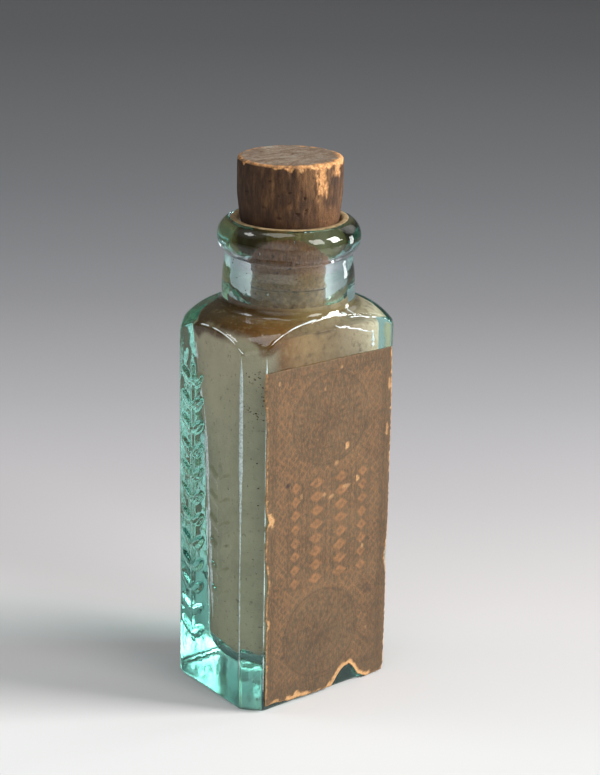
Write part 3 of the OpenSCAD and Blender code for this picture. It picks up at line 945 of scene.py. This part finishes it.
def label_material():
    m, n = material("aged_label_paper")
    co = n.obj()
    tan, ink, dark = n.attr("tan"), n.attr("ink"), n.attr("dark")
    fibre = n.noise(n.obj((1000, 1000, 420)), 2.8, 5.0, 0.7)
    blot = n.noise(co, 0.10, 4.0, 0.6)
    fine = n.noise(co, 3.6, 3.0, 0.6)
    base = n.ramp(blot, [(0.30, srgb(78, 66, 51)), (0.52, srgb(91, 77, 59)), (0.72, srgb(103, 86, 65))])
    base = n.mix(n.range(fibre, 0.40, 0.62, 0, 0.55), base, srgb(132, 96, 65))
    scratch = n.noise(n.obj((1000, 1000, 1000), (0, math.radians(32), 0)), 1.7, 6.0, 0.75, 0.6)
    base = n.mix(n.range(scratch, 0.52, 0.66, 0, 0.35), base, srgb(148, 106, 74))
    base = n.mix(n.range(scratch, 0.44, 0.34, 0, 0.35), base, srgb(80, 65, 52))
    wear_and_glints = n.noise(co, 0.9, 5.0, 0.65)
    ink_f = n.math("MULTIPLY", ink, n.range(wear_and_glints, 0.32, 0.62, 0.22, 0.80))
    pale_f = n.math("MULTIPLY", n.attr("pale"), n.range(wear_and_glints, 0.36, 0.60, 0.35, 1.0))
    base = n.mix(pale_f, base, srgb(154, 109, 73))
    col = n.mix(ink_f, base, srgb(66, 53, 43))
    col = n.mix(n.range(fine, 0.64, 0.78, 0, 0.45), col, srgb(164, 126, 90))
    tcol = n.ramp(fine, [(0.3, srgb(168, 124, 82)), (0.7, srgb(206, 164, 116))])
    sep = n.add("ShaderNodeSeparateXYZ")
    n.nt.links.new(co, sep.inputs[0])
    soil = n.noise(co, 0.33, 5.0, 0.65)
    col = n.mix(n.range(soil, 0.46, 0.70, 0.0, 0.30), col, srgb(74, 58, 44))
    # darker towards the right edge and towards the bottom
    right_darkening = n.math("ADD", sep.outputs[0], n.math("MULTIPLY", soil, 8.0))
    col = n.mix(n.range(right_darkening, 9.0, 19.0, 0, 0.34), col, srgb(70, 56, 44))
    col = n.mix(n.range(n.math("SUBTRACT", n.math("MULTIPLY", soil, 24.0), sep.outputs[2]), -12.0, 12.0, 0, 0.22), col, srgb(70, 62, 52))
    col = n.mix(tan, col, tcol)
    col = n.mix(dark, col, srgb(58, 46, 44))
    h = n.math("ADD", fibre, n.math("MULTIPLY", fine, 0.7))
    b = n.add("ShaderNodeBsdfPrincipled", {"Base Color": col, "Roughness": 0.78, "Specular IOR Level": 0.3, "Normal": n.bump(h, 0.35, 0.00015)})
    n.out(b.outputs[0])
    return m


# ------------------------------------------------------------------ dust and dirt on the glass, and painted highlights on its edges
def build_lip_dust():
    cols = 200
    th = np.linspace(-math.pi, math.pi, cols, endpoint=False)
    cx, cy = np.cos(th), np.sin(th)
    inner = 8.43 + 0.02 * fbm(cx * 5, cy * 5, 0, 3, 101)
    outer = 10.0 + 0.32 * fbm(cx * 2.6, cy * 2.6, 0, 4, 102)
    prof_r = np.array([8.40, 8.58, 8.72, 8.95, 9.25, 9.7, 10.2, 10.58])
    prof_z = np.array([84.30, 84.36, 84.52, 84.66, 84.74, 84.76, 84.72, 84.64])
    tops, bots, edge = [], [], []
    steps = 9
    for i in range(steps):
        t = i / (steps - 1)
        r = inner + (outer - inner) * t
        z = np.interp(r, prof_r, prof_z)
        swell = math.sin(math.pi * min(max(t, 0.0), 1.0)) * 0.07
        tops.append(np.stack([r * cx, r * cy, z + 0.02 + swell + 0.02 * fbm(r * cx * 2, r * cy * 2, 0, 3, 103)], 1))
        bots.append(np.stack([r * cx, r * cy, z + 0.012], 1))
    tops, bots = np.array(tops), np.array(bots)
    n = steps * cols
    verts = np.concatenate([tops.reshape(-1, 3), bots.reshape(-1, 3)])
    faces = ring_faces(steps, cols, flip=True) + ring_faces(steps, cols, n)
    j = np.arange(cols)
    k = (j + 1) % cols
    last = (steps - 1) * cols
    faces += np.stack([j, k, n + k, n + j], 1).tolist()
    faces += np.stack([last + k, last + j, n + last + j, n + last + k], 1).tolist()
    return make_mesh("lip_dust", verts, faces, "bottle")


def lip_dust_material():
    m, n = material("lip_dust")
    co = n.obj()
    a = n.noise(co, 1.2, 5.0, 0.65)
    col = n.ramp(a, [(0.3, srgb(112, 92, 66)), (0.55, srgb(156, 134, 100)), (0.75, srgb(182, 160, 124))])
    b = n.add("ShaderNodeBsdfPrincipled", {"Base Color": col, "Roughness": 0.95, "Specular IOR Level": 0.15, "Normal": n.bump(a, 0.5, 0.0002)})
    n.out(b.outputs[0])
    return m


def build_specks():
    rng = np.random.default_rng(7)
    ico_v, ico_f = icosphere(1)
    verts, faces = [], []

    def speck(p, nrm, size, flat=0.35):
        nrm = np.array(nrm, float)
        nrm /= np.linalg.norm(nrm)
        t = np.cross(nrm, [0.3, 0.2, 0.93])
        t /= np.linalg.norm(t)
        b = np.cross(nrm, t)
        v = ico_v * (1 + 0.35 * rng.standard_normal((len(ico_v), 1)).clip(-1.2, 1.2))
        sx, sy = size * rng.uniform(0.7, 1.5), size * rng.uniform(0.5, 1.0)
        w = v[:, :1] * t * sx + v[:, 1:2] * b * sy + v[:, 2:3] * nrm * size * flat
        w = w + np.array(p) + nrm * size * flat * 0.6
        base = len(verts)
        verts.extend(map(tuple, w))
        faces.extend([[base + a for a in f] for f in ico_f])
    s2 = 1 / math.sqrt(2)
    # dirt caught on the cut corner and the front edge
    for cx_, cz_, n_, sx_, sz_ in ((-15.6, 56.2, 12, 0.5, 0.6), (-14.7, 55.2, 9, 0.35, 0.4), (-15.2, 61.8, 8, 0.5, 0.6), (-14.3, 60.8, 10, 0.25, 1.2), (-14.0, 57.5, 6, 0.15, 1.5), (-15.0, 40, 5, 0.6, 9), (-15.0, 25, 6, 0.6, 8)):
        for _ in range(n_):
            x = np.clip(cx_ + rng.normal() * sx_, -16.2, -13.9)
            z = cz_ + rng.normal() * sz_
            speck((x, -25.6 - x, z), (-s2, -s2, 0), rng.uniform(0.05, 0.13))
    # left side panel
    for _ in range(16):
        speck((-W, rng.uniform(-8, 8), rng.uniform(6, 62)), (-1, 0, 0), rng.uniform(0.04, 0.09))
    # neck, mostly at the left
    for _ in range(46):
        th = math.radians(rng.normal(-178, 22) if rng.random() < 0.7 else rng.uniform(-180, 180))
        z = rng.uniform(71.8, 78.2)
        r = float(np.interp(z, [71.5, 72.9, 74, 75.5, 76.4, 77.3, 78.5], [11.45, 11.45, 11.4, 11.3, 11.18, 10.99, 10.86]))
        speck((r * math.cos(th), r * math.sin(th), z), (math.cos(th), math.sin(th), 0), rng.uniform(0.04, 0.11))
    # groove under the lip
    for _ in range(30):
        th = rng.uniform(-math.pi, math.pi)
        speck((10.86 * math.cos(th), 10.86 * math.sin(th), rng.uniform(78.4, 78.8)), (math.cos(th), math.sin(th), -0.4), rng.uniform(0.05, 0.12))
    # shoulder, above the front left corner
    for _ in range(26):
        th = math.radians(rng.uniform(-160, -112))
        f = math.radians(rng.uniform(30, 62))
        r, z = SH_CR + SH_R * math.cos(f), SH_CZ + SH_R * math.sin(f)
        if r < float(rho_box(np.array([th]))[0]) - 0.3:
            speck((r * math.cos(th), r * math.sin(th), z), (math.cos(f) * math.cos(th), math.cos(f) * math.sin(th), math.sin(f)), rng.uniform(0.04, 0.10))
    return make_mesh("dirt_specks", verts, faces, "bottle")


def outside_at(th, z):
    """Distance of the glass's outside from the axis, below the neck."""
    th, z = np.broadcast_arrays(np.asarray(th, float), np.asarray(z, float))
    rho = rho_box(th)
    zz = np.clip(z - SH_CZ, 0, SH_R - 0.01)
    lim = SH_CR + np.sqrt(SH_R ** 2 - zz ** 2)
    rho = np.where(z > SH_CZ + 1.5, smin(rho, lim, 0.55), rho)
    x, y = rho * np.cos(th), rho * np.sin(th)
    return rho + 0.045 * fbm(x * 0.11 + 3, y * 0.11, z * 0.09, 2, 5) + 0.012 * vnoise(x * 0.5, y * 0.5, z * 0.32, 9)


def build_edge_glints():
    """Thin pale slivers over the glass, painted highlights and reflections: down the upright edges at the
    front left, along the arches between the panels and the shoulder, down the left side panel, and
    on the wrinkles at the right of the front."""
    verts, faces = [], []

    def strip(th_c, z_c, wide_t, wide_z, proud=0.03):
        """A shell over the glass along a curve; its half widths are given round and up."""
        n = len(th_c)
        keep = np.hypot(wide_t, wide_z) > 0.035
        us = np.linspace(-1, 1, 5)
        i = 0
        while i < n:
            if not keep[i]:
                i += 1
                continue
            j = i
            while j < n and keep[j]:
                j += 1
            if j - i >= 3:
                m = j - i
                t = np.linspace(0, math.pi, m)
                taper = np.clip(np.sin(t) * 4, 0.05, 1)
                top, bot = [], []
                for k in range(m):
                    rho = float(outside_at(th_c[i + k], z_c[i + k]))
                    tt = th_c[i + k] + us * wide_t[i + k] * taper[k] / rho
                    zz = z_c[i + k] + us * wide_z[i + k] * taper[k]
                    r = outside_at(tt, zz)
                    lift = proud * (1 - us ** 2) + 0.012
                    top.append(np.stack([(r + lift) * np.cos(tt), (r + lift) * np.sin(tt), zz], 1))
                    bot.append(np.stack([(r - 0.02) * np.cos(tt), (r - 0.02) * np.sin(tt), zz], 1))
                top, bot = np.array(top).reshape(-1, 3), np.array(bot).reshape(-1, 3)
                base = len(verts)
                verts.extend(map(tuple, np.concatenate([top, bot])))
                off = m * 5
                for k in range(m - 1):
                    for q in range(4):
                        a = base + k * 5 + q
                        faces.append([a, a + 1, a + 6, a + 5])
                        faces.append([a + off, a + 5 + off, a + 6 + off, a + 1 + off])
                    a, b_ = base + k * 5, base + k * 5 + 4
                    faces.append([a, a + 5, a + 5 + off, a + off])
                    faces.append([b_, b_ + off, b_ + 5 + off, b_ + 5])
                for k, flip in ((0, False), (m - 1, True)):
                    for q in range(4):
                        a = base + k * 5 + q
                        f = [a, a + off, a + 1 + off, a + 1]
                        faces.append(f[::-1] if flip else f)
            i = j
    # painted highlights down the upright edges
    th1, th2 = math.atan2(-9.1, -16.5), math.atan2(-12.0, -13.6)
    z = np.arange(4.0, 65.2, 0.22)
    n1 = fbm(z * 0.55, 3, 1, 4, 201)
    level = np.interp(z, [4, 20, 28, 31, 36, 40, 44, 62, 65], [0.07, 0.09, 0.12, 0.18, 0.14, 0.22, 0.34, 0.38, 0.30])
    n1 = 0.6 * n1 + 0.5 * fbm(z * 2.6, 3, 8, 3, 221)
    strip(np.full(z.size, th1 - 0.010), z, np.clip(level + 0.14 * n1, 0.04, 0.40), 0 * z, proud=0.02)
    n2 = fbm(z * 0.6, 9, 4, 4, 202)
    level = np.interp(z, [4, 12, 30, 50, 66], [0.05, 0.055, 0.06, 0.07, 0.08])
    strip(np.full(z.size, th2), z, np.clip(level + 0.06 * n2, 0, 0.16), 0 * z, proud=0.015)
    # painted reflection: a pale line down the side face, along the edge of the contents
    z = np.arange(14.8, 64.8, 0.25)
    y = np.interp(z, [14.8, 23, 32.4, 39.3, 47.8, 52.2, 56.1, 62.8, 65.0], [-1.1, -0.6, -0.04, 0.48, 0.88, 1.48, 2.07, 4.04, 4.3])
    n3 = fbm(z * 0.5, 6, 2, 4, 231)
    level = np.interp(z, [14.8, 18, 30, 46, 53, 54.5, 61.5, 62.5, 64.8], [0.18, 0.30, 0.34, 0.34, 0.20, 0.0, 0.0, 0.26, 0.20])
    strip(np.arctan2(y, -16.95), z, np.clip(level + 0.22 * n3 * (level > 0), 0, 0.5), 0 * z, proud=0.02)
    # painted highlights along the arches
    for t0, t1, wide, var, seed in ((-178.5, -150.8, 0.07, 0.09, 203), (167, 178.5, 0.06, 0.09, 204), (-137.0, -91.0, 0.06, 0.08, 205), (-90.5, -74.0, 0.03, 0.20, 206)):
        th = np.radians(np.arange(t0, t1, 0.35))
        zc = arch_height(th) + 0.05
        w = np.clip(wide + var * fbm(th * 14, 2, 3, 4, seed), 0, 0.3)
        strip(th, zc, 0 * th, w)
    # painted glints on raised wrinkles in the glass at the right end of the front arch, x and z on the front face
    for pts, w in (([(0.7, 68.45), (1.9, 67.75), (3.0, 67.85), (4.2, 67.25), (5.6, 66.95), (7.1, 66.35), (8.9, 65.8)], 0.16),
                   ([(8.95, 66.2), (9.15, 65.2), (9.2, 64.2), (9.25, 63.1)], 0.20),
                   ([(3.9, 69.35), (6.0, 69.1), (8.2, 68.6), (9.9, 68.3)], 0.10),
                   ([(4.9, 69.2), (5.0, 70.1), (4.95, 70.9)], 0.16)):
        px, pz_ = zip(*pts)
        t = np.linspace(0, len(pts) - 1, 12 * len(pts))
        x = np.interp(t, range(len(pts)), px)
        zc = np.interp(t, range(len(pts)), pz_) + 0.08 * fbm(t * 1.7, 1, 2, 3, 210)
        th = np.arctan2(-12.0, x)
        steep = abs(pz_[-1] - pz_[0]) > abs(px[-1] - px[0])
        ww = np.clip(w * (0.8 + 0.9 * fbm(t * 2.3, 5, 6, 3, 211)), 0.0, 0.34)
        strip(th, zc, ww if steep else 0 * ww, 0 * ww if steep else ww, proud=0.08)
    return make_mesh("edge_glint_strips", verts, faces, "bottle")


def edge_glint_material():
    m, n = material("painted_edge_glints")
    co = n.obj()
    a = n.noise(co, 2.2, 4.0, 0.6)
    # painted highlights: a pale glassy colour that stands in for light caught on the edges
    col = n.ramp(a, [(0.34, (0.34, 0.45, 0.43)), (0.55, (0.50, 0.61, 0.60)), (0.72, (0.74, 0.83, 0.82))])
    sep = n.add("ShaderNodeSeparateXYZ")
    n.nt.links.new(co, sep.inputs[0])
    # painted highlight: brighter along the arches
    col = n.mix(n.range(sep.outputs[2], 65.2, 66.8, 0, 0.75), col, (0.92, 0.95, 0.95))
    b = n.add("ShaderNodeBsdfPrincipled", {"Base Color": col, "Roughness": n.range(a, 0.3, 0.7, 0.18, 0.5), "Specular IOR Level": 0.8, "IOR": 1.52, "Normal": n.bump(a, 0.4, 0.0001)})
    n.out(b.outputs[0])
    return m


def speck_material():
    m, n = material("dark_dirt")
    co = n.obj()
    a = n.noise(co, 4.0, 3.0, 0.6)
    col = n.ramp(a, [(0.3, srgb(44, 34, 26)), (0.7, srgb(84, 64, 46))])
    b = n.add("ShaderNodeBsdfPrincipled", {"Base Color": col, "Roughness": 0.85, "Specular IOR Level": 0.25})
    n.out(b.outputs[0])
    return m


# ------------------------------------------------------------------ make the pieces
glass = build_glass()
glass.data.materials.append(glass_material())
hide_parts("bottle_glass")

powder = build_powder()
powder.data.materials.append(powder_material())
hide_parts("powder_contents")

film = build_film()
film.data.materials.append(film_material())

cork = build_cork()
cork.data.materials.append(cork_material())
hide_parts("cork_stopper")

label = build_label()
label.data.materials.append(label_material())
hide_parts("front_label")

lip = build_lip_dust()
lip.data.materials.append(lip_dust_material())

wear_and_glints = build_edge_glints()
wear_and_glints.data.materials.append(edge_glint_material())

dirt = build_specks()
dirt.data.materials.append(speck_material())


# ------------------------------------------------------------------ stage
def build_floor():
    mesh = bpy.data.meshes.new("studio_floor")
    s, z = 4.0, -0.00003
    mesh.from_pydata([(-s, -s, z), (s, -s, z), (s, s, z), (-s, s, z)], [], [(0, 1, 2, 3)])
    ob = bpy.data.objects.new("studio_floor", mesh)
    scene.collection.objects.link(ob)
    m, n = material("floor_painted_falloff")
    tc = n.add("ShaderNodeTexCoord")
    dot = n.add("ShaderNodeVectorMath", operation="DOT_PRODUCT")
    n.nt.links.new(tc.outputs["Object"], dot.inputs[0])
    dot.inputs[1].default_value = (0.6216, 0.7834, 0)
    # painted light: the floor's colour falls from bright near the camera to dark far off, a painted pool of light and
    # its fall-off
    s = n.range(dot.outputs["Value"], -0.20, 0.90, 0, 1, smooth=False)
    stops = []
    for d, r, g, bl in FLOOR_PAINTED_FALLOFF:
        stops.append(((d + 0.20) / 1.10, (r, g, bl)))
    col = n.ramp(s, stops)
    # painted shade: darker towards the camera's right, widening with distance
    side = n.add("ShaderNodeVectorMath", operation="DOT_PRODUCT")
    n.nt.links.new(tc.outputs["Object"], side.inputs[0])
    side.inputs[1].default_value = (0.7834, -0.6216, 0)
    u = n.math("DIVIDE", side.outputs["Value"], n.math("MAXIMUM", n.math("ADD", dot.outputs["Value"], 0.40), 0.2))
    f = n.range(u, -0.25, 0.25, 1.0, 0.72, smooth=False)
    grey = n.add("ShaderNodeCombineColor", {"Red": f, "Green": f, "Blue": f})
    col = n.mix(1.0, col, grey.outputs[0], blend="MULTIPLY")
    b = n.add("ShaderNodeBsdfPrincipled", {"Base Color": col, "Roughness": 0.9, "Specular IOR Level": 0.15})
    n.out(b.outputs[0])
    mesh.materials.append(m)
    return ob


# painted light: floor colour against distance along the view, bright near and dark far
FLOOR_PAINTED_FALLOFF = [(-0.2, 0.781, 0.792, 0.796), (-0.03, 0.755, 0.764, 0.769), (0.0, 0.714, 0.703, 0.711), (0.03, 0.64, 0.622, 0.631), (0.08, 0.531, 0.515, 0.532), (0.148, 0.416, 0.414, 0.437), (0.24, 0.304, 0.307, 0.324), (0.3, 0.262, 0.271, 0.286), (0.38, 0.234, 0.244, 0.259), (0.465, 0.227, 0.235, 0.247), (0.6, 0.231, 0.239, 0.249), (0.772, 0.238, 0.246, 0.259), (0.9, 0.264, 0.27, 0.282)]
build_floor()


def area(name, direction, elev, dist, size, power, colour, target=(0, 0, 0.045), size_y=None):
    d = Vector((direction[0], direction[1], 0)).normalized()
    e = math.radians(elev)
    pos = Vector(target) + Vector((d.x * math.cos(e), d.y * math.cos(e), math.sin(e))) * dist
    data = bpy.data.lights.new(name, "AREA")
    data.shape = "RECTANGLE"
    data.size = size
    data.size_y = size_y or size
    data.energy = power
    data.color = colour
    ob = bpy.data.objects.new(name, data)
    ob.location = pos
    ob.rotation_euler = (Vector(target) - pos).to_track_quat("-Z", "Y").to_euler()
    scene.collection.objects.link(ob)
    return ob


area("key_window", (0.73, -0.68), 30, 0.80, 0.26, 9.2, (1.0, 0.985, 0.96), size_y=0.34)
area("front_window", (0.22, -0.97), 36, 0.80, 0.26, 2.4, (1.0, 0.99, 0.97), size_y=0.34)
area("top_softbox", (-0.5, 0.1), 80, 0.70, 0.30, 0.80, (0.97, 0.99, 1.0))
area("back_window", (-0.46, 0.43), 50, 0.70, 0.17, 0.50, (0.97, 0.99, 1.0), size_y=0.12)
area("right_card", (0.97, -0.24), 10, 0.22, 0.035, 0.07, (1.0, 1.0, 1.0), size_y=0.08)

world = bpy.data.worlds.new("studio_world")
scene.world = world
world.use_nodes = True
wn = Nodes(world)
tc = wn.add("ShaderNodeTexCoord")
sep = wn.add("ShaderNodeSeparateXYZ")
wn.nt.links.new(tc.outputs["Generated"], sep.inputs[0])
grad = wn.ramp(wn.range(sep.outputs[2], -0.2, 1.0, 0, 1, smooth=False), [(0.0, (0.055, 0.055, 0.056)), (0.17, (0.07, 0.071, 0.073)), (0.32, (0.095, 0.096, 0.098)), (0.6, (0.095, 0.096, 0.098)), (1.0, (0.07, 0.071, 0.073))])
# soft bright openings: low at the left, high at the back left, and at the right
for direction, inner, outer, colour in (((-0.80, -0.59, 0.08), 1.0, 0.72, (1.45, 1.41, 1.36)), ((-0.46, 0.43, 0.77), 0.97, 0.88, (0.40, 0.41, 0.42)), ((0.89, 0.13, 0.43), 0.985, 0.95, (1.2, 1.2, 1.2))):
    dot = wn.add("ShaderNodeVectorMath", operation="DOT_PRODUCT")
    wn.nt.links.new(tc.outputs["Generated"], dot.inputs[0])
    dot.inputs[1].default_value = direction
    grad = wn.mix(wn.range(dot.outputs["Value"], outer, inner, 0, 1), grad, colour)
bg = wn.add("ShaderNodeBackground", {"Strength": 1.0})
wn.nt.links.new(grad, bg.inputs[0])
wo = wn.add("ShaderNodeOutputWorld")
wn.nt.links.new(bg.outputs[0], wo.inputs[0])

# ------------------------------------------------------------------ camera
cam_data = bpy.data.cameras.new("camera")
cam_data.lens = 86.923
cam_data.sensor_width = 36.0
cam_data.sensor_fit = "AUTO"
cam_data.clip_start = 0.01
cam_data.clip_end = 20.0
cam = bpy.data.objects.new("camera", cam_data)
right = Vector((0.78652239, -0.61731149, 0.01757977))
up = Vector((0.18725969, 0.2655222, 0.94574403))
fwd = Vector((0.58848648, 0.74055688, -0.32443671))
rot = Matrix((right, up, -fwd)).transposed().to_4x4()
cam.matrix_world = Matrix.Translation(Vector((-190.48870886, -243.4390664, 160.23908082)) * MM) @ rot
scene.collection.objects.link(cam)
scene.camera = cam

scene.view_settings.view_transform = "Standard"
scene.view_settings.look = "None"
scene.cycles.use_denoising = True
scene.cycles.max_bounces = 20
scene.cycles.transmission_bounces = 16
scene.cycles.transparent_max_bounces = 16
scene.cycles.glossy_bounces = 8
scene.cycles.diffuse_bounces = 4
scene.cycles.caustics_reflective = False
scene.cycles.caustics_refractive = False
scene.cycles.sample_clamp_indirect = 6.0
